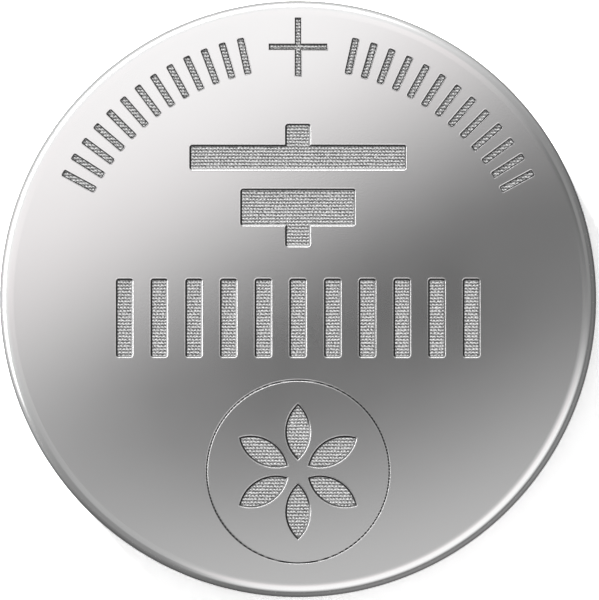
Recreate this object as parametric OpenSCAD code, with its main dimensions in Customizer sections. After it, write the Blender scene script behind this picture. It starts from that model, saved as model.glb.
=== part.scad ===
// Lithium coin cell, crimped shut, lying on its negative terminal with the stamped positive face up.
// Millimetres. The origin is the centre of the negative terminal's face, and +Z points to the positive face.

/* [Cell] */
// Outer diameter of the cell
cell_d = 30; // [28.5:0.5:40]
// Overall height, from the negative terminal to the positive face
cell_h = 3.2; // [3:0.1:4.5]
// Clearance between pieces that fit inside or around each other
seat_gap = 0.02; // [0.01:0.005:0.04]

/* [Positive can] */
// Thickness of the can's steel sheet
can_t = 0.25; // [0.2:0.01:0.3]
// Outer radius where the positive face turns into the wall
face_bend = 0.75; // [0.5:0.05:0.9]
// Outer radius of the crimp that closes the cell
crimp_bend = 0.9; // [0.7:0.05:1]
// Straight stretch of lip after the crimp's bend
crimp_lip = 0.1; // [0.05:0.01:0.2]
// Height of the crimp's lip above the surface that the cell lies on
crimp_rise = 0.15; // [0.1:0.01:0.25]

/* [Negative cap] */
// Thickness of the cap's steel sheet
cap_t = 0.25; // [0.2:0.01:0.3]
// Outer radius at the edge of the flat terminal
terminal_bend = 0.45; // [0.35:0.01:0.5]
// Radius of the hollow where the terminal's wall meets the shoulder
root_bend = 0.3; // [0.25:0.01:0.35]
// Flat width of the shoulder under the crimp
shoulder_w = 0.35; // [0.2:0.01:0.6]
// Outer radius where the shoulder turns into the skirt
shoulder_bend = 0.4; // [0.35:0.01:0.5]

/* [Gasket] */
// Thickness of the gasket's wall between the can and the cap's skirt
gasket_t = 0.3; // [0.2:0.01:0.4]
// Thickness of the gasket's foot under the end of the skirt
foot_t = 0.35; // [0.2:0.01:0.5]
// Thickness of the gasket's inner lip
lip_t = 0.3; // [0.2:0.01:0.4]
// Length of the inner lip along the skirt, from the foot
lip_h = 0.5; // [0.3:0.05:0.8]
// Width of the bead that shows between the crimp and the cap
bead_w = 0.24; // [0.16:0.01:0.3]

/* [Electrodes] */
// Thickness of the lithium disc
lithium_t = 0.7; // [0.5:0.05:0.8]
// Room between the lithium disc and the wall of the terminal
lithium_room = 0.55; // [0.4:0.05:1]
// Thickness of the separator sheet
separator_t = 0.15; // [0.08:0.01:0.2]
// Inner radius where the separator's edge turns up
separator_bend = 0.15; // [0.1:0.01:0.25]
// Height of the separator's upturned edge, from the pellet's lower face
separator_h = 1.2; // [0.8:0.05:1.5]
// Room for electrolyte between the gasket's lip and the separator
electrolyte_room = 0.65; // [0.3:0.05:1]
// Thickness of the steel ring that the cathode pellet is pressed into
ring_t = 0.2; // [0.15:0.01:0.25]
// Height of the ring's wall
ring_h = 0.95; // [0.6:0.05:1.2]
// Reach of the ring's flange over the pellet's rim
ring_flange = 1; // [0.6:0.1:2]
// Room between the ring and the separator's upturned edge
ring_room = 0.15; // [0.05:0.01:0.3]

/* [Stamped marks] */
// Depth of the marks in the positive face
mark_depth = 0.1; // [0.04:0.01:0.12]
// Span of the polarity plus from tip to tip
plus_span = 2.94; // [2:0.02:3.2]
// Width of the plus's strokes
plus_w = 0.32; // [0.2:0.02:0.5]
// Distance from the plus's tip to the edge of the flat face
plus_margin = 0.13; // [0.1:0.01:0.4]
// Number of ticks in each of the two arcs
tick_count = 13; // [5:1:14]
// Radial length of a tick
tick_l = 1.85; // [1:0.05:2]
// Width of a tick
tick_w = 0.36; // [0.2:0.02:0.5]
// Distance from a tick's outer end to the edge of the flat face
tick_margin = 0.85; // [0.5:0.05:1]
// Angle from the plus to the first tick, in degrees
tick_from = 12.5; // [12:0.5:16]
// Angle between ticks, in degrees
tick_pitch = 4.1; // [3:0.1:4.5]
// Width of the long plate of the cell symbol
long_plate_w = 10.9; // [7:0.1:12]
// Thickness of the long plate
long_plate_t = 1.3; // [0.8:0.05:1.5]
// Width of the short plate of the cell symbol
short_plate_w = 5.8; // [3:0.1:6.5]
// Thickness of the short plate
short_plate_t = 1.9; // [1.2:0.05:2.1]
// Gap between the two plates
plate_gap = 0.9; // [0.6:0.05:1.1]
// Width of the symbol's two leads
lead_w = 1.3; // [0.6:0.05:1.6]
// Length of each lead
lead_l = 1.05; // [0.5:0.05:1.2]
// Height of the symbol's middle above the centre of the face
symbol_y = 5.7; // [5.5:0.1:6]
// Number of bars in the row under the symbol
bar_count = 11; // [5:1:12]
// Length of a bar
bar_l = 3.98; // [2.5:0.02:4.1]
// Width of a bar
bar_w = 0.88; // [0.5:0.02:1.1]
// Distance from one bar to the next
bar_pitch = 1.74; // [1.4:0.01:1.85]
// Distance of the bars' middle below the centre of the face
bar_drop = 0.95; // [0.8:0.05:1]
// Corner radius of the plates, leads and bars
mark_corner = 0.15; // [0.05:0.01:0.2]
// Diameter of the fine circle, at the middle of its line
circle_d = 9.16; // [8:0.02:9.2]
// Width of the fine circle's line
circle_w = 0.1; // [0.06:0.01:0.2]
// Distance from the fine circle to the edge of the flat face
circle_margin = 1.01; // [0.8:0.01:1.1]
// Number of petals in the rosette inside the circle
petal_count = 6; // [4:1:7]
// Length of a petal
petal_l = 2.9; // [2:0.05:3.2]
// Width of a petal at its middle
petal_w = 1.3; // [0.8:0.05:1.5]
// Distance from the rosette's centre to the petals' inner tips
petal_start = 0.55; // [0.5:0.05:0.8]

/* [Hidden] */
$fn = 96;

// How far a cutter reaches past the face that it cuts
over = 0.2;

// Can: its outer radius, the flat face inside its rounded edge, its inner floor and the inner end of its lip
can_r = cell_d / 2;
face_r = can_r - face_bend;
floor_z = cell_h - can_t;
mouth_r = can_r - crimp_bend - crimp_lip;

// Cap, set by the gasket that it sits in: its skirt, its shoulder and the wall of its terminal
skirt_r = can_r - can_t - gasket_t - 2 * seat_gap;
skirt_end_z = floor_z - foot_t;
shoulder_z = terminal_bend + root_bend;
terminal_wall_r = skirt_r - shoulder_bend - shoulder_w - root_bend;

// Gasket: the two sides of its inner lip, and the inner side of its bead
lip_out_r = skirt_r - cap_t - seat_gap;
lip_in_r = lip_out_r - lip_t;
bead_out_r = mouth_r - seat_gap;
bead_in_r = bead_out_r - bead_w;

// Electrode stack, from the cap's inner face up to the can's floor
separator_z = cap_t + lithium_t;
pellet_z = separator_z + separator_t;
separator_r = lip_in_r - electrolyte_room;
ring_r = separator_r - separator_t - ring_room;
pellet_r = ring_r - ring_t - seat_gap;
flange_in_r = pellet_r - ring_flange;
lithium_r = terminal_wall_r - cap_t - lithium_room;

// Marks: the middles of the plus and of the fine circle, and the outer end of the ticks
plus_y = face_r - plus_margin - plus_span / 2;
circle_y = -(face_r - circle_margin - circle_d / 2);
tick_out_r = face_r - tick_margin;

// Right half of a round plate's section from z0 to z1, its lower and upper edges rounded
module plate_section(r, z0, z1, low_bend, high_bend) {
    translate([0, z0 + low_bend])
        square([r, z1 - z0 - low_bend - high_bend]);
    if (low_bend > 0) {
        translate([0, z0])
            square([r - low_bend, low_bend]);
        translate([r - low_bend, z0 + low_bend])
            circle(low_bend);
    }
    if (high_bend > 0) {
        translate([0, z1 - high_bend])
            square([r - high_bend, high_bend]);
        translate([r - high_bend, z1 - high_bend])
            circle(high_bend);
    }
}

// Right half of a ring's section
module ring_section(in_r, out_r, z0, z1) {
    translate([in_r, z0])
        square([out_r - in_r, z1 - z0]);
}

// Section of the can's outside, or of its inside when inset by the sheet
module can_outline(inset, top_z) {
    plate_section(can_r - inset, crimp_rise + inset, top_z, crimp_bend - inset, face_bend - inset);
}

// Section of the cap's outside as if it were filled, inset by a given depth
module cap_outline(inset) {
    hollow = root_bend + inset;
    wall_r = terminal_wall_r - inset;
    step_z = shoulder_z + inset;
    plate_section(wall_r, inset, step_z, terminal_bend - inset, 0);
    difference() {
        ring_section(wall_r, wall_r + hollow, step_z - hollow, step_z);
        translate([wall_r + hollow, step_z - hollow])
            circle(hollow);
    }
    plate_section(skirt_r - inset, step_z, skirt_end_z, shoulder_bend - inset, 0);
}

// Bar of length l along Y and width w, with rounded corners
module bar(l, w, corner) {
    square([w - 2 * corner, l], center = true);
    square([w, l - 2 * corner], center = true);
    for (x = [-1, 1], y = [-1, 1])
        translate([x * (w / 2 - corner), y * (l / 2 - corner)])
            circle(corner);
}

// Polarity plus near the edge of the face
module plus_mark() {
    translate([0, plus_y]) {
        square([plus_span, plus_w], center = true);
        square([plus_w, plus_span], center = true);
    }
}

// Two arcs of radial ticks, one on each side of the plus
module tick_marks() {
    for (side = [-1, 1], i = [0:tick_count - 1])
        rotate(side * (tick_from + i * tick_pitch))
            translate([0, tick_out_r - tick_l / 2])
                bar(tick_l, tick_w, tick_w / 4);
}

// The drawing-office symbol for one cell: a long plate over a short thick one, with a lead on each
module cell_symbol() {
    height = lead_l + long_plate_t + plate_gap + short_plate_t + lead_l;
    long_y = height / 2 - lead_l - long_plate_t / 2;
    short_y = lead_l + short_plate_t / 2 - height / 2;
    lead_in = mark_corner * 2;
    translate([0, symbol_y]) {
        translate([0, long_y])
            bar(long_plate_t, long_plate_w, mark_corner);
        translate([0, short_y])
            bar(short_plate_t, short_plate_w, mark_corner);
        for (side = [-1, 1])
            translate([0, side * (height - lead_l - lead_in) / 2])
                bar(lead_l + lead_in, lead_w, mark_corner);
    }
}

// Row of upright bars across the middle of the face
module bar_row() {
    for (i = [0:bar_count - 1])
        translate([(i - (bar_count - 1) / 2) * bar_pitch, -bar_drop])
            bar(bar_l, bar_w, mark_corner);
}

// Petal along +Y, shared by two equal circles
module petal() {
    sweep_r = (pow(petal_l / 2, 2) + pow(petal_w / 2, 2)) / petal_w;
    translate([0, petal_start + petal_l / 2])
        intersection_for (side = [-1, 1])
            translate([side * (sweep_r - petal_w / 2), 0])
                circle(sweep_r);
}

// Fine circle with a rosette inside it
module rosette() {
    translate([0, circle_y]) {
        difference() {
            circle(circle_d / 2 + circle_w / 2);
            circle(circle_d / 2 - circle_w / 2);
        }
        for (i = [0:petal_count - 1])
            rotate(i * 360 / petal_count)
                petal();
    }
}

// Punch that sinks every mark into the positive face
module mark_punch() {
    translate([0, 0, cell_h - mark_depth])
        linear_extrude(mark_depth + over) {
            plus_mark();
            tick_marks();
            cell_symbol();
            bar_row();
            rosette();
        }
}

// Drawn steel cup whose rim is crimped over the gasket, with the marks in its face
module positive_can() {
    color("silver")
        difference() {
            rotate_extrude()
                difference() {
                    can_outline(0, cell_h);
                    can_outline(can_t, floor_z);
                    ring_section(0, mouth_r, crimp_rise, crimp_rise + can_t);
                }
            mark_punch();
        }
}

// Moulded seal that wraps the cap's skirt and ends in a bead at the mouth of the crimp
module gasket() {
    bead_r = bead_w / 2;
    bead_z = crimp_rise + can_t + seat_gap;
    color("dimgray")
        rotate_extrude() {
            difference() {
                can_outline(can_t + seat_gap, floor_z);
                cap_outline(-seat_gap);
                ring_section(0, bead_in_r, crimp_rise, skirt_end_z);
                ring_section(0, lip_in_r, skirt_end_z, floor_z);
            }
            ring_section(lip_in_r, lip_out_r, skirt_end_z - lip_h, skirt_end_z);
            translate([bead_in_r + bead_r, bead_z])
                circle(bead_r);
        }
}

// Drawn steel cap with its flat terminal, shoulder and skirt
module negative_cap() {
    color("gainsboro")
        rotate_extrude()
            difference() {
                cap_outline(0);
                cap_outline(cap_t);
            }
}

// Lithium pressed onto the inside of the cap
module lithium_disc() {
    color("lightsteelblue")
        translate([0, 0, cap_t])
            cylinder(h = lithium_t, r = lithium_r);
}

// Felt sheet between the electrodes, its edge turned up around the pellet
module separator() {
    color("white")
        rotate_extrude()
            difference() {
                plate_section(separator_r, separator_z, pellet_z + separator_h, separator_bend + separator_t, 0);
                plate_section(separator_r - separator_t, pellet_z, pellet_z + separator_h + over, separator_bend, 0);
            }
}

// Pressed manganese dioxide disc, stepped where the ring's flange lies on its rim
module cathode_pellet() {
    color([0.12, 0.12, 0.13])
        rotate_extrude() {
            ring_section(0, pellet_r, pellet_z, floor_z - ring_t);
            ring_section(0, flange_in_r - seat_gap, pellet_z, floor_z);
        }
}

// Steel ring of L section that holds the pellet and carries its current to the can
module cathode_ring() {
    color("silver")
        rotate_extrude() {
            ring_section(pellet_r + seat_gap, ring_r, floor_z - ring_h, floor_z);
            ring_section(flange_in_r, ring_r, floor_z - ring_t, floor_z);
        }
}

positive_can();
gasket();
negative_cap();
lithium_disc();
separator();
cathode_pellet();
cathode_ring();
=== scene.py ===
import math

import bmesh
import bpy
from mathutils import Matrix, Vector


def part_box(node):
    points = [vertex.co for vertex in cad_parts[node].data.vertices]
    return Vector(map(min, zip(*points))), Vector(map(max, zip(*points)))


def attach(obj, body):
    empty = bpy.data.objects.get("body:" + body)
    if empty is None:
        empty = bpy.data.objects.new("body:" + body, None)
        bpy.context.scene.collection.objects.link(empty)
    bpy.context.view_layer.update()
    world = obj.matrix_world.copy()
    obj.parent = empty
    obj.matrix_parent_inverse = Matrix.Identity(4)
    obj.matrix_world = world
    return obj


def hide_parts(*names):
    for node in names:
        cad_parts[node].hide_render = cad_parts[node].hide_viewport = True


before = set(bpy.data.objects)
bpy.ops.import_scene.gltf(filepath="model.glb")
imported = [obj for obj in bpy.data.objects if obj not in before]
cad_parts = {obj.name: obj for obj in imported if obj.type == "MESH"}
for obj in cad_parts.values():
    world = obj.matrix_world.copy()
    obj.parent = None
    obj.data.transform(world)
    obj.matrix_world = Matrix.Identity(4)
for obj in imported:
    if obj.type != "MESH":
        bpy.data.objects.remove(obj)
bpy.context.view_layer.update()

mm = 0.001
print("frame loaded")


# helpers for modelling

def deselect():
    if bpy.context.object and bpy.context.object.mode != "OBJECT":
        bpy.ops.object.mode_set(mode="OBJECT")
    bpy.ops.object.select_all(action="DESELECT")


def activate(*objects):
    deselect()
    for item in objects:
        item.select_set(True)
    bpy.context.view_layer.objects.active = objects[0]


def named(name):
    made = bpy.context.object
    made.name = name
    made.data.name = name
    return made


def settle(item):  # puts the place of an object into its mesh
    activate(item)
    bpy.ops.object.transform_apply(location=True, rotation=True, scale=True)
    return item


def pickFaces(item, test):  # leaves the object in edit mode with the faces that pass the test selected
    activate(item)
    bpy.ops.object.mode_set(mode="EDIT")
    bpy.ops.mesh.select_mode(type="FACE")
    bpy.ops.mesh.select_all(action="DESELECT")
    mesh = bmesh.from_edit_mesh(item.data)
    for face in mesh.faces:
        face.select_set(test(face))
    mesh.select_flush_mode()
    bmesh.update_edit_mesh(item.data)


def cutBy(item, cutter, operation="DIFFERENCE"):
    activate(item)
    cut = item.modifiers.new("cut", "BOOLEAN")
    cut.operation = operation
    cut.solver = "EXACT"
    cut.object = cutter
    bpy.ops.object.modifier_apply(modifier=cut.name)
    bpy.data.objects.remove(cutter)


def joined(items, name):
    activate(*items)
    bpy.ops.object.join()
    return named(name)


def copied(item, x, y, turn=0):  # a copy with its own mesh, turned about the origin and then moved
    activate(item)
    bpy.ops.object.duplicate()
    made = bpy.context.object
    made.location = (x, y, 0)
    made.rotation_euler = (0, 0, turn)
    return settle(made)


def arc(middleR, middleZ, radius, fromDeg, toDeg, steps):  # points as (distance from axis, height)
    points = []
    for i in range(steps + 1):
        angle = math.radians(fromDeg + (toDeg - fromDeg) * i / steps)
        points.append((middleR + radius * math.cos(angle), middleZ + radius * math.sin(angle)))
    return points


def turned(name, section, sides):  # a ring pulled from one section point to the next, filled at both ends
    startR, startZ = section[0]
    deselect()
    bpy.ops.mesh.primitive_circle_add(
        vertices=sides, radius=startR, fill_type="NOTHING", location=(0, 0, startZ))
    made = settle(named(name))
    bpy.ops.object.mode_set(mode="EDIT")
    bpy.ops.mesh.select_all(action="SELECT")
    bpy.ops.mesh.edge_face_add()
    bpy.ops.mesh.select_mode(type="EDGE")
    for (oldR, oldZ), (newR, newZ) in zip(section, section[1:]):
        bpy.ops.mesh.extrude_edges_move(TRANSFORM_OT_translate={"value": (0, 0, newZ - oldZ)})
        share = newR / oldR
        bpy.ops.transform.resize(value=(share, share, 1), center_override=(0, 0, newZ))
    bpy.ops.mesh.edge_face_add()
    bpy.ops.mesh.select_all(action="SELECT")
    bpy.ops.mesh.normals_make_consistent(inside=False)
    bpy.ops.object.mode_set(mode="OBJECT")
    return made


# the can, from the outside of its face round to its inner floor, in millimetres

can = {
    "sheet": 0.25,
    "faceBend": 0.75,
    "crimpBend": 0.9,
    "crimpLip": 0.1,
    "lipEdge": 0.04,  # rounding of the sheared edge
    "faceSink": 0.004,  # how far the face lies below the raised edges of its marks
    "sides": 288,
    "bendSteps": 14,
    "edgeSteps": 3,
    "smoothDeg": 40,
    "smoothWeight": 100,
}

canLow, canHigh = (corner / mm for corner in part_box("positive_can"))
canR = canHigh.x
topZ = canHigh.z
lowZ = canLow.z
faceZ = topZ - can["faceSink"]
faceR = canR - can["faceBend"]


def makeCan():
    sheet = can["sheet"]
    bend = can["faceBend"]
    crimp = can["crimpBend"]
    edge = can["lipEdge"]
    steps = can["bendSteps"]
    edgeSteps = can["edgeSteps"]
    crimpR = canR - crimp
    crimpZ = lowZ + crimp
    mouthR = crimpR - can["crimpLip"]
    bendZ = faceZ - bend
    section = arc(faceR, bendZ, bend, 90, 0, steps)
    section += arc(crimpR, crimpZ, crimp, 0, -90, steps)
    section += arc(mouthR + edge, lowZ + edge, edge, -90, -180, edgeSteps)
    section += arc(mouthR + edge, lowZ + sheet - edge, edge, 180, 90, edgeSteps)
    section += arc(crimpR, crimpZ, crimp - sheet, -90, 0, steps // 2)
    section += arc(faceR, bendZ, bend - sheet, 0, 90, steps // 2)
    return turned("positiveCan", section, can["sides"])


positiveCan = makeCan()
print("can turned")


# the marks, each modelled once as a punch that crosses the face, then copied

marks = {
    "depth": 0.1,
    "firstCut": 0.002,  # how deep the punches cut, before the walls are stepped down to the floors
    "skirt": 0.035,  # how far the raised edge reaches outside a mark's outline
    "plusSpan": 2.94,
    "plusW": 0.32,
    "plusMargin": 0.13,
    "tickCount": 13,
    "tickL": 1.85,
    "tickW": 0.36,
    "tickCorner": 0.09,
    "tickMargin": 0.85,
    "tickFrom": 12.5,
    "tickPitch": 4.1,
    "longPlateW": 10.9,
    "longPlateT": 1.3,
    "shortPlateW": 5.8,
    "shortPlateT": 1.9,
    "plateGap": 0.9,
    "leadW": 1.3,
    "leadL": 1.05,
    "symbolY": 5.7,
    "barCount": 11,
    "barL": 3.98,
    "barW": 0.88,
    "barPitch": 1.74,
    "barDrop": 0.95,
    "corner": 0.15,
    "cornerSteps": 6,
    "circleD": 9.16,
    "circleW": 0.1,
    "circleMargin": 1.01,
    "circleSides": 256,
    "circleSkirt": 0.75,  # share of the other marks' skirt
    "petalCount": 6,
    "petalL": 2.9,
    "petalW": 1.3,
    "petalStart": 0.55,
    "petalSteps": 14,
    "mergeGap": 0.004,  # points of an outline that are nearer than this become one
    "scaleR": 10.5,  # the ticks and the plus lie further out than this
    # steps of a mark's wall, as (distance inwards, rise)
    "wall": [(0.024, 0.0036), (0.006, 0), (0.004, -0.0012), (0.004, -0.0034), (0.101, -0.089)],
    "narrowWall": [(0.024, 0.0055), (0.006, 0), (0.004, -0.0012), (0.004, -0.0044), (0.06, -0.0899)],
    "grooveWall": [(0.018, 0.005), (0.003, -0.001), (0.004, -0.0034), (0.047, -0.042)],
}

punchTall = marks["depth"] * 4
punchZ = faceZ + punchTall / 2 - marks["firstCut"]  # height of a punch's middle
plusY = faceR - marks["plusMargin"] - marks["plusSpan"] / 2
circleY = -(faceR - marks["circleMargin"] - marks["circleD"] / 2)


def block(width, length, corner):  # upright block through the face with rounded corners
    skirt = marks["skirt"]
    deselect()
    bpy.ops.mesh.primitive_cube_add(size=1, location=(0, 0, punchZ))
    made = bpy.context.object
    made.scale = (width + 2 * skirt, length + 2 * skirt, punchTall)
    settle(made)
    bpy.ops.object.mode_set(mode="EDIT")
    bpy.ops.mesh.select_mode(type="EDGE")
    bpy.ops.mesh.select_all(action="DESELECT")
    mesh = bmesh.from_edit_mesh(made.data)
    for edge in mesh.edges:
        ends = [v.co for v in edge.verts]
        edge.select_set(abs(ends[0].z - ends[1].z) > punchTall / 2)
    bmesh.update_edit_mesh(made.data)
    if corner > 0:
        bpy.ops.mesh.bevel(offset=corner + skirt, segments=marks["cornerSteps"], affect="EDGES")
    bpy.ops.object.mode_set(mode="OBJECT")
    return made


def drum(radius):  # upright cylinder through the face, about the middle of the fine circle
    deselect()
    bpy.ops.mesh.primitive_cylinder_add(
        vertices=marks["circleSides"], radius=radius, depth=punchTall, location=(0, circleY, punchZ))
    return settle(bpy.context.object)


def makePlus():
    long = block(marks["plusSpan"], marks["plusW"], 0)
    tall = block(marks["plusW"], marks["plusSpan"], 0)
    cutBy(long, tall, "UNION")
    return [copied(long, 0, plusY)], [long]


def makeTicks():
    first = block(marks["tickW"], marks["tickL"], marks["tickCorner"])
    middleR = faceR - marks["tickMargin"] - marks["tickL"] / 2
    ticks = []
    for side in (-1, 1):
        for i in range(marks["tickCount"]):
            turn = side * math.radians(marks["tickFrom"] + i * marks["tickPitch"])
            ticks.append(copied(first, -middleR * math.sin(turn), middleR * math.cos(turn), turn))
    return ticks, [first]


def makeSymbol():
    corner = marks["corner"]
    height = 2 * marks["leadL"] + marks["longPlateT"] + marks["plateGap"] + marks["shortPlateT"]
    longY = marks["symbolY"] + height / 2 - marks["leadL"] - marks["longPlateT"] / 2
    shortY = marks["symbolY"] - height / 2 + marks["leadL"] + marks["shortPlateT"] / 2
    leadY = (height - marks["leadL"]) / 2 - corner
    longPlate = block(marks["longPlateW"], marks["longPlateT"], corner)
    shortPlate = block(marks["shortPlateW"], marks["shortPlateT"], corner)
    lead = block(marks["leadW"], marks["leadL"] + 2 * corner, corner)
    shapes = []
    for plate, plateY, side in ((longPlate, longY, 1), (shortPlate, shortY, -1)):
        shape = copied(plate, 0, plateY)
        cutBy(shape, copied(lead, 0, marks["symbolY"] + side * leadY), "UNION")
        shapes.append(shape)
    return shapes, [longPlate, shortPlate, lead]


def makeBars():
    first = block(marks["barW"], marks["barL"], marks["corner"])
    middle = (marks["barCount"] - 1) / 2
    bars = []
    for i in range(marks["barCount"]):
        bars.append(copied(first, (i - middle) * marks["barPitch"], -marks["barDrop"]))
    return bars, [first]


def makePetals():
    halfL = marks["petalL"] / 2 + marks["skirt"]
    halfW = marks["petalW"] / 2 + marks["skirt"]
    sweepR = (halfL ** 2 + halfW ** 2) / (2 * halfW)
    sweep = 2 * math.asin(halfL / sweepR)
    deselect()
    bpy.ops.mesh.primitive_plane_add(
        size=punchTall, rotation=(math.pi / 2, 0, 0), location=(punchTall / 2, -halfL, punchZ))
    first = settle(bpy.context.object)
    bpy.ops.object.mode_set(mode="EDIT")
    mesh = bmesh.from_edit_mesh(first.data)
    for vert in mesh.verts:
        vert.select_set(vert.co.x > punchTall / 2)
    mesh.select_flush_mode()
    bmesh.update_edit_mesh(first.data)
    bpy.ops.mesh.delete(type="VERT")  # leaves the upright line that is spun into one side of the petal
    bpy.ops.mesh.select_all(action="SELECT")
    bpy.ops.mesh.spin(
        steps=marks["petalSteps"], angle=sweep, center=(sweepR - halfW, 0, 0), axis=(0, 0, 1))
    bpy.ops.mesh.select_all(action="SELECT")
    bpy.ops.mesh.duplicate()
    bpy.ops.transform.resize(value=(-1, 1, 1), center_override=(0, 0, 0))
    bpy.ops.mesh.select_all(action="SELECT")
    bpy.ops.mesh.remove_doubles(threshold=marks["mergeGap"])
    bpy.ops.mesh.fill_holes(sides=0)
    bpy.ops.mesh.select_all(action="SELECT")
    bpy.ops.mesh.normals_make_consistent(inside=False)
    bpy.ops.object.mode_set(mode="OBJECT")
    middleR = marks["petalStart"] + marks["petalL"] / 2
    petals = []
    for i in range(marks["petalCount"]):
        turn = i * 2 * math.pi / marks["petalCount"]
        petals.append(copied(first, -middleR * math.sin(turn), circleY + middleR * math.cos(turn), turn))
    return petals, [first]


def makeGroove():
    middle = marks["circleD"] / 2
    half = marks["circleW"] / 2 + marks["circleSkirt"] * marks["skirt"]
    ring = drum(middle + half)
    cutBy(ring, drum(middle - half))
    return [ring], []


def onGroove(face):
    middle = marks["circleD"] / 2
    return all(abs(math.hypot(v.co.x, v.co.y - circleY) - middle) < marks["circleW"] for v in face.verts)


def onScale(face):  # the ticks and the plus, which are too narrow for the wide marks' walls
    return all(v.co.y > 0 and math.hypot(v.co.x, v.co.y) > marks["scaleR"] for v in face.verts)


def onWide(face):
    return not onGroove(face) and not onScale(face)


def stepDown(item, wall, test):  # walks the walls of the marks that were just cut down to their floors
    cutZ = faceZ - marks["firstCut"]
    near = 0.0002
    upright = 0.9

    def justCut(face):
        level = abs(face.calc_center_median().z - cutZ) < near
        return level and face.normal.z > upright and test(face)

    pickFaces(item, justCut)
    if test is not onGroove:  # one face for each floor
        bpy.ops.mesh.remove_doubles(threshold=marks["mergeGap"])
        bpy.ops.mesh.dissolve_faces(use_verts=True)
    for inwards, rise in wall:
        bpy.ops.mesh.inset(thickness=inwards, depth=rise, use_even_offset=True, use_boundary=True)
    bpy.ops.object.mode_set(mode="OBJECT")


def stampMarks():
    punches = []
    for make in (makePlus, makeTicks, makeSymbol, makeBars, makePetals, makeGroove):
        shapes, firsts = make()
        punches += shapes
        for first in firsts:
            bpy.data.objects.remove(first)
    cutBy(positiveCan, joined(punches, "punches"))
    stepDown(positiveCan, marks["wall"], onWide)
    stepDown(positiveCan, marks["narrowWall"], onScale)
    stepDown(positiveCan, marks["grooveWall"], onGroove)


def shrink(item):  # from millimetres to metres
    item.scale = (mm, mm, mm)
    settle(item)


def smoothen(item):
    activate(item)
    bpy.ops.object.shade_smooth_by_angle(angle=math.radians(can["smoothDeg"]))
    even = item.modifiers.new("even", "WEIGHTED_NORMAL")
    even.keep_sharp = True
    even.weight = can["smoothWeight"]
    bpy.ops.object.modifier_apply(modifier=even.name)


stampMarks()
shrink(positiveCan)
smoothen(positiveCan)
print("marks stamped", len(positiveCan.data.polygons), "faces")


# shader maths, written as Python expressions

class Wire:  # one output of a node
    def __init__(self, bench, socket):
        self.bench = bench
        self.socket = socket

    def other(self, name):
        return Wire(self.bench, self.socket.node.outputs[name])

    def __add__(self, value):
        return self.bench.maths("ADD", self, value)

    __radd__ = __add__

    def __sub__(self, value):
        return self.bench.maths("SUBTRACT", self, value)

    def __rsub__(self, value):
        return self.bench.maths("SUBTRACT", value, self)

    def __mul__(self, value):
        return self.bench.maths("MULTIPLY", self, value)

    __rmul__ = __mul__

    def __truediv__(self, value):
        return self.bench.maths("DIVIDE", self, value)

    def __rtruediv__(self, value):
        return self.bench.maths("DIVIDE", value, self)

    def __pow__(self, value):
        return self.bench.maths("POWER", self, value)


class Bench:  # a node tree to work on
    def __init__(self, owner):
        owner.use_nodes = True
        self.tree = owner.node_tree
        self.tree.nodes.clear()

    def node(self, kind, settings=None, sockets=None, out=0):
        made = self.tree.nodes.new(kind)
        for name, value in (settings or {}).items():
            setattr(made, name, value)
        for name, value in (sockets or {}).items():
            if isinstance(value, Wire):
                self.tree.links.new(value.socket, made.inputs[name])
            else:
                made.inputs[name].default_value = value
        return Wire(self, made.outputs[out]) if len(made.outputs) else made

    def maths(self, operation, *values):
        return self.node("ShaderNodeMath", {"operation": operation}, dict(enumerate(values)))

    def coords(self):
        return self.node("ShaderNodeTexCoord", out="Object")

    def split(self, vector):
        x = self.node("ShaderNodeSeparateXYZ", sockets={0: vector})
        return x, x.other("Y"), x.other("Z")

    def step(self, value, low, high, toLow=0, toHigh=1):
        sockets = {"Value": value, "From Min": low, "From Max": high, "To Min": toLow, "To Max": toHigh}
        return self.node("ShaderNodeMapRange", {"interpolation_type": "SMOOTHSTEP"}, sockets)

    def noise(self, scale, detail=2):
        sockets = {"Vector": self.coords(), "Scale": scale, "Detail": detail}
        return self.node("ShaderNodeTexNoise", sockets=sockets)

    def mixColour(self, share, first, second):
        return self.node("ShaderNodeMix", {"data_type": "RGBA"}, {0: share, 6: first, 7: second}, out=2)

    def bump(self, height, distance, strength):
        sockets = {"Height": height, "Distance": distance, "Strength": strength}
        return self.node("ShaderNodeBump", sockets=sockets)

    def surface(self, wire):
        self.node("ShaderNodeOutputMaterial", sockets={"Surface": wire})

    def principled(self, **sockets):
        spaced = {name.replace("_", " "): value for name, value in sockets.items()}
        self.surface(self.node("ShaderNodeBsdfPrincipled", sockets=spaced))

    def shine(self, glow, tint=(1, 1, 1, 1)):
        self.surface(self.node("ShaderNodeEmission", sockets={"Color": tint, "Strength": glow}))


def grey(value, tint=0):
    return (value * (1 + tint), value, value * (1 - tint), 1)


def fromMiddle(x, y):  # how far a point lies from the origin
    return (x * x + y * y) ** 0.5


# the finishes: clouds, grains and wanders are scales of noise, and shares are how much they count

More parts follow.
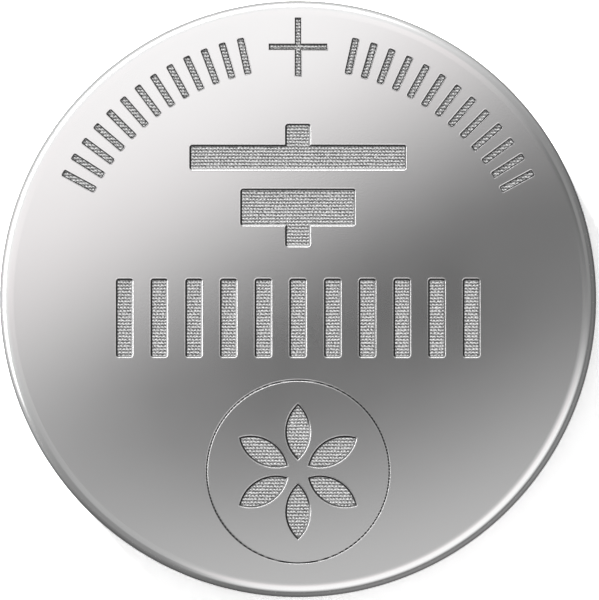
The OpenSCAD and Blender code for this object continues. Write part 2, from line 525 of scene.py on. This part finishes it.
canFinish = {
    "face": 0.8,
    "faceRough": 0.2,
    "faceCloud": 180,
    "faceCloudRough": 0.05,
    "faceGrain": 9000,
    "faceGrainShare": 0.02,
    "faceEdge": (0.1, 0.05),  # how far inside the face's edge the marks' finish fades out
    # painted shade: the mark walls' base colour is dark, so that they render as dark lines
    "wall": 0.11,
    "wallRough": 0.1,
    "wallFrom": (0.1, 0.2),  # how deep the wall's finish and its painted shade set in, in shares of the marks' depth
    "wallTo": (2, 1.5),  # how deep it has ended, above the inside of the sheet
    "glintReach": (1, 1.2),  # where the painted glints of the fine circle end, in widths of its line
    "floorDark": 0.12,
    "floorLight": 1.0,
    "floorRough": 0.6,
    "floorMetal": 0.15,
    "floorFrom": (0.82, 0.95),
    "rowPitch": 0.16 * mm,
    "rowWander": 700,
    "rowWanderShare": 1.5,
    "dashPitch": 0.17 * mm,
    "dashSlant": -0.9,
    "dashWander": 1500,
    "dashWanderShare": 9,
    "dashShare": 0.42,  # how much the dashes break up the rows
    "weaveShare": 1.75,
    "grain": 11000,
    "grainMiddle": 0.47,
    "grainShare": 1.9,
    "relief": 0.04 * mm,
    "reliefShare": 0.8,
}


def canSteel():  # polished face, smooth mark walls painted dark as painted shade, matt rows and dashes on the mark floors
    look = canFinish
    material = bpy.data.materials.new("canSteel")
    bench = Bench(material)
    x, y, z = bench.split(bench.coords())

    def sunk(shares):  # from 0 at the first share of the marks' depth to 1 at the second
        first, second = ((topZ - share * marks["depth"]) * mm for share in shares)
        return bench.step(z, first, second)

    fadeFrom, fadeTo = ((faceR - inside) * mm for inside in look["faceEdge"])
    onFace = bench.step(fromMiddle(x, y), fadeFrom, fadeTo, 1, 0)
    wall = sunk(look["wallFrom"]) * onFace * sunk(look["wallTo"])
    floor = sunk(look["floorFrom"]) * wall

    turn = 2 * math.pi
    rowDrift = bench.noise(look["rowWander"], 1) * look["rowWanderShare"]
    rows = bench.maths("SINE", y * (turn / look["rowPitch"]) + rowDrift)
    slanted = (x - y * look["dashSlant"]) * (turn / look["dashPitch"])
    dashDrift = bench.noise(look["dashWander"]) * look["dashWanderShare"]
    dashes = bench.maths("SINE", slanted + rows + dashDrift)
    woven = (rows * 0.5 + 0.5) * (dashes * look["dashShare"] + (1 - look["dashShare"]))
    grain = bench.noise(look["grain"]) - look["grainMiddle"]
    weave = woven * look["weaveShare"] + grain * look["grainShare"]
    hatch = bench.mixColour(weave, grey(look["floorDark"]), grey(look["floorLight"]))

    offCircle = bench.maths("ABSOLUTE", fromMiddle(x, y - circleY * mm) - marks["circleD"] / 2 * mm)
    glintFrom, glintTo = (widths * marks["circleW"] * mm for widths in look["glintReach"])
    inGroove = bench.step(offCircle, glintFrom, glintTo, 1, 0)
    # the mark walls are painted dark as painted shade, and in the fine circle the rows paint bright
    # glints into them
    paintedShadeAndGlints = bench.mixColour(inGroove * rows, grey(look["wall"]), grey(look["face"]))
    metal = bench.mixColour(wall, grey(look["face"]), paintedShadeAndGlints)
    tone = bench.mixColour(floor, metal, hatch)

    rough = look["faceRough"] + (bench.noise(look["faceCloud"], 3) - 0.5) * look["faceCloudRough"]
    rough = rough - wall * (look["faceRough"] - look["wallRough"])
    rough = rough + floor * (look["floorRough"] - look["wallRough"])
    faceGrain = bench.noise(look["faceGrain"]) * look["faceGrainShare"]
    height = weave * floor + faceGrain * (1 - floor) * (1 - wall)
    bench.principled(
        Base_Color=tone, Metallic=1 - floor * (1 - look["floorMetal"]), Roughness=rough,
        Normal=bench.bump(height, look["relief"], look["reliefShare"]))
    return material


sheetFinish = {
    "cloud": 220,
    "cloudRough": 0.06,
    "dark": (0.96, 0.006),  # as (share of the tone, warm tint)
    "light": (1.03, 0.004),
    "ringDetail": 3,
    "ringRough": 0.12,
    "grain": 7000,
    "grainShare": 0.4,
    "relief": 0.004 * mm,
    "reliefShare": 0.5,
}


def sheetSteel(name, tone, rough, ringPitch):  # drawn sheet with faint turning marks about its axis
    look = sheetFinish
    material = bpy.data.materials.new(name)
    bench = Bench(material)
    x, y = bench.split(bench.coords())[:2]
    ringSockets = {"W": fromMiddle(x, y) / ringPitch, "Scale": 1, "Detail": look["ringDetail"]}
    rings = bench.node("ShaderNodeTexNoise", {"noise_dimensions": "1D"}, ringSockets)
    cloud = bench.noise(look["cloud"], 3)
    dark, light = (grey(tone * share, tint) for share, tint in (look["dark"], look["light"]))
    height = rings + bench.noise(look["grain"]) * look["grainShare"]
    bench.principled(
        Base_Color=bench.mixColour(cloud, dark, light), Metallic=1.0,
        Roughness=rough + (rings - 0.5) * look["ringRough"] + (cloud - 0.5) * look["cloudRough"],
        Normal=bench.bump(height, look["relief"], look["reliefShare"]))
    return material


dullFinish = {
    "cloudScale": 0.1,
    "cloudShare": 0.5,
    "roughSpread": 0.15,
    "reliefShare": 0.7,
}


def dull(name, low, high, rough, scale, relief):  # moulded, pressed or felted stuff
    look = dullFinish
    material = bpy.data.materials.new(name)
    bench = Bench(material)
    cloud = bench.noise(scale * look["cloudScale"], 3)
    grain = bench.noise(scale, 3)
    patches = cloud * look["cloudShare"] + grain * (1 - look["cloudShare"])
    bench.principled(
        Base_Color=bench.mixColour(patches, low, high),
        Roughness=rough + (grain - 0.5) * look["roughSpread"],
        Normal=bench.bump(grain, relief, look["reliefShare"]))
    return material


def dress(node, material):
    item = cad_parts[node]
    item.data.materials.clear()
    item.data.materials.append(material)


positiveCan.data.materials.append(canSteel())
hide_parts("positive_can")
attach(positiveCan, "root")

capSteel = sheetSteel("capSteel", tone=0.78, rough=0.27, ringPitch=0.12 * mm)
ringSteel = sheetSteel("ringSteel", tone=0.75, rough=0.33, ringPitch=0.1 * mm)
lithiumMetal = sheetSteel("lithiumMetal", tone=0.7, rough=0.5, ringPitch=0.3 * mm)
gasketPlastic = dull("gasketPlastic", grey(0.018), grey(0.03), rough=0.42, scale=9000, relief=0.003 * mm)
separatorFelt = dull(
    "separatorFelt", grey(0.78, 0.01), grey(0.9, 0.01), rough=0.9, scale=14000, relief=0.02 * mm)
cathodeMix = dull("cathodeMix", grey(0.02), grey(0.05), rough=0.8, scale=12000, relief=0.01 * mm)

dress("negative_cap", capSteel)
dress("cathode_ring", ringSteel)
dress("lithium_disc", lithiumMetal)
dress("gasket", gasketPlastic)
dress("separator", separatorFelt)
dress("cathode_pellet", cathodeMix)
print("finishes on")


# the studio: a white floor, a soft sky, and three cards that only the metal sees
# directions are in degrees from +X

keyDeg = 125  # where the light comes from


def toward(x, y, degrees):  # how far a point lies in a direction
    return x * math.cos(math.radians(degrees)) + y * math.sin(math.radians(degrees))


def shineBench(item, name):  # hides a card from all but the metal, and gives the bench for its glow
    item.visible_camera = False
    item.visible_diffuse = False
    item.visible_shadow = False
    material = bpy.data.materials.new(name)
    item.data.materials.append(material)
    return Bench(material)


view = {
    "distance": 250 * mm,  # above the widest line of the rim
    "frameW": 599,  # the photo's size, and the disc's place in it, in pixels
    "frameH": 600,
    "discW": 596.4,
    "discX": 298.0,
    "discY": 299.0,
    "sensor": 36,
    "nearest": 0.001,
    "farthest": 10,
}


def makeCamera():
    widestZ = (faceZ - can["faceBend"]) * mm
    pixel = 2 * canR * mm / view["discW"]
    data = bpy.data.cameras.new("camera")
    camera = bpy.data.objects.new("camera", data)
    bpy.context.scene.collection.objects.link(camera)
    camera.location = (
        (view["frameW"] / 2 - view["discX"]) * pixel,
        (view["discY"] - view["frameH"] / 2) * pixel,
        widestZ + view["distance"])
    data.sensor_width = view["sensor"]
    data.lens = view["sensor"] * view["distance"] / (view["frameH"] * pixel)
    data.clip_start = view["nearest"]
    data.clip_end = view["farthest"]
    bpy.context.scene.camera = camera


floorPaint = {
    "width": 3,
    "tone": 0.8,
    "seenTone": 3.2,  # as the camera and the metal see it, which makes it white
}


def makeFloor():
    deselect()
    bpy.ops.mesh.primitive_plane_add(size=floorPaint["width"], location=(0, 0, 0))
    floor = named("floor")
    material = bpy.data.materials.new("floorPaint")
    bench = Bench(material)
    toCamera = bench.node("ShaderNodeLightPath", out="Is Camera Ray")
    seen = bench.maths("MAXIMUM", toCamera, toCamera.other("Is Glossy Ray"))
    seen = bench.maths("MAXIMUM", seen, toCamera.other("Is Transmission Ray"))
    tone = bench.mixColour(seen, grey(floorPaint["tone"]), grey(floorPaint["seenTone"]))
    bench.surface(bench.node("ShaderNodeBsdfDiffuse", sockets={"Color": tone}))
    floor.data.materials.append(material)


lampCard = {
    "height": 60 * mm,  # above the face
    "half": 90 * mm,
    "discR": 15,  # past this radius a wash stays as it is at the edge of the disc
    "glow": 0.052,
    # washes of light, as (strength, direction, where it starts, where it is full),
    # with the places in millimetres on the face, where the card is mirrored
    "washes": [
        (1.1, 120, -1.7, 10.8),
        (0.57, 281.5, 2, 17),
        (0.065, 85, 5, 12),
        (0.075, 345, 8, 15),
        (0.07, 215, 8, 15),
    ],
    # washes that also come in outwards, with the radii where they start and are full at the end
    "edgeWashes": [
        (0.13, 281.5, -2, 6, 8, 15),
        (-0.0855, 281.5, 2, 17, 14, 22),
        (0.1, 5, 7.5, 15, 14, 22),
        (0.15, 210, 13.5, 15, 14, 22),
        (0.62, 300, 8.25, 12.75, 18, 47),
    ],
    "rimFrom": (14, 22),  # past these radii only the rim mirrors the card, which is a little darker there
    "rimDim": 0.05,
    "blush": (1, 0.955, 0.96, 1),  # a faint pink where the light falls off, between these glows
    "blushFrom": (0.6, 0.9),
    "blushTo": (1.0, 1.3),
}


def makeCard():
    deselect()
    cardZ = faceZ * mm + lampCard["height"]
    bpy.ops.mesh.primitive_plane_add(size=2 * lampCard["half"], location=(0, 0, cardZ))
    card = settle(named("lampCard"))
    bench = shineBench(card, "lampGlow")
    x, y = bench.split(bench.coords())[:2]
    # a place on the face is mirrored this much further out on the card
    spread = (1 + lampCard["height"] / view["distance"]) * mm
    radius = fromMiddle(x, y) / spread
    inside = bench.maths("MINIMUM", lampCard["discR"] / radius, 1)
    x = x * inside / spread
    y = y * inside / spread
    glow = lampCard["glow"] - bench.step(radius, *lampCard["rimFrom"]) * lampCard["rimDim"]
    for strength, degrees, start, full in lampCard["washes"]:
        glow = glow + bench.step(toward(x, y, degrees), start, full) * strength
    for strength, degrees, start, full, startR, fullR in lampCard["edgeWashes"]:
        wash = bench.step(toward(x, y, degrees), start, full) * bench.step(radius, startR, fullR)
        glow = glow + wash * strength
    blush = bench.step(glow, *lampCard["blushFrom"]) * bench.step(glow, *lampCard["blushTo"], 1, 0)
    bench.shine(glow, bench.mixColour(blush, (1, 1, 1, 1), lampCard["blush"]))


boxCard = {
    "radius": 85 * mm,
    "sides": 96,
    "glow": 0.3,
    # a side as (direction, where it starts, where it is full), the last two in shares of the radius,
    # and its fade as (from height, to height, strength before, strength after)
    "upper": (keyDeg, -0.1, 0.75),
    "upperFade": (20 * mm, 42 * mm, 1, 0.9),
    "upperGlow": 0.85,
    "lower": (300, 0.55, 0.85),
    "lowerFade": (10 * mm, 48 * mm, 0, 1),
    "lowerGlow": 0.95,
    "foot": (315, 0.2, 0.6),  # dark, which draws the walls of the marks
    "footFade": (15 * mm, 24 * mm, 1, 0),
    "footDim": 0.42,
    "spark": (135, 0.35, 0.65),  # brightest, for the walls that face this way
    "sparkFade": (13 * mm, 18 * mm, 1, 0),
    "sparkGlow": 5.5,
}


def makeBox():  # an upright card bent all round the cell
    deselect()
    tall = lampCard["height"] + faceZ * mm
    bpy.ops.mesh.primitive_cylinder_add(
        vertices=boxCard["sides"], radius=boxCard["radius"], depth=tall, end_fill_type="NOTHING",
        location=(0, 0, tall / 2))
    box = settle(named("box"))
    bench = shineBench(box, "boxGlow")
    x, y, z = bench.split(bench.coords())

    def side(name):
        degrees, start, full = boxCard[name]
        around = bench.step(toward(x, y, degrees) / boxCard["radius"], start, full)
        return around * bench.step(z, *boxCard[name + "Fade"])

    glow = boxCard["glow"] + side("upper") * boxCard["upperGlow"] + side("lower") * boxCard["lowerGlow"]
    glow = glow * (1 - side("foot") * boxCard["footDim"])
    bench.shine(glow + side("spark") * boxCard["sparkGlow"])


matCard = {
    "radius": 84 * mm,
    "height": 0.02 * mm,
    "sides": 128,
    # a side as (where it starts, where it is full, glow before, glow after)
    # the side away from the key is painted darker, where the cell's shadow falls on the floor
    "keySide": (-0.3, 0.75, 0.21, 1),
    "farDeg": 310,
    "farSide": (0.6, 1, 0, 0.1),
    "foot": (16 * mm, 24 * mm, 0.55, 1),  # dimmer near the cell, a painted contact shadow, as (from radius, to radius, strength before, strength after)
}


def makeMat():  # grey round the foot of the cell, which darkens the outermost line of the rim; its glow paints the floor's shade, darker away from the key and near the cell
    deselect()
    bpy.ops.mesh.primitive_circle_add(
        vertices=matCard["sides"], radius=matCard["radius"], fill_type="NGON",
        location=(0, 0, matCard["height"]))
    mat = settle(named("mat"))
    bench = shineBench(mat, "matPaintedShade")
    x, y = bench.split(bench.coords())[:2]
    radius = fromMiddle(x, y)
    glow = bench.step(toward(x, y, keyDeg) / radius, *matCard["keySide"])
    glow = glow + bench.step(toward(x, y, matCard["farDeg"]) / radius, *matCard["farSide"])
    bench.shine(glow * bench.step(radius, *matCard["foot"]))


lights = {
    "keyUpDeg": 35,
    "keySoftDeg": 9,
    "key": 2.96,
    "sky": 0.33,
}


def makeKey():
    data = bpy.data.lights.new("key", "SUN")
    data.energy = lights["key"]
    data.angle = math.radians(lights["keySoftDeg"])
    key = bpy.data.objects.new("key", data)
    key.visible_glossy = False
    bpy.context.scene.collection.objects.link(key)
    key.rotation_euler = (0, math.radians(90 - lights["keyUpDeg"]), math.radians(keyDeg))


def makeSky():
    world = bpy.data.worlds.new("sky")
    bpy.context.scene.world = world
    bench = Bench(world)
    sky = bench.node("ShaderNodeBackground", sockets={"Color": (1, 1, 1, 1), "Strength": lights["sky"]})
    bench.node("ShaderNodeOutputWorld", sockets={"Surface": sky})


makeCamera()
makeFloor()
makeCard()
makeBox()
makeMat()
makeKey()
makeSky()
bpy.context.scene.view_settings.view_transform = "Standard"
print("studio ready")
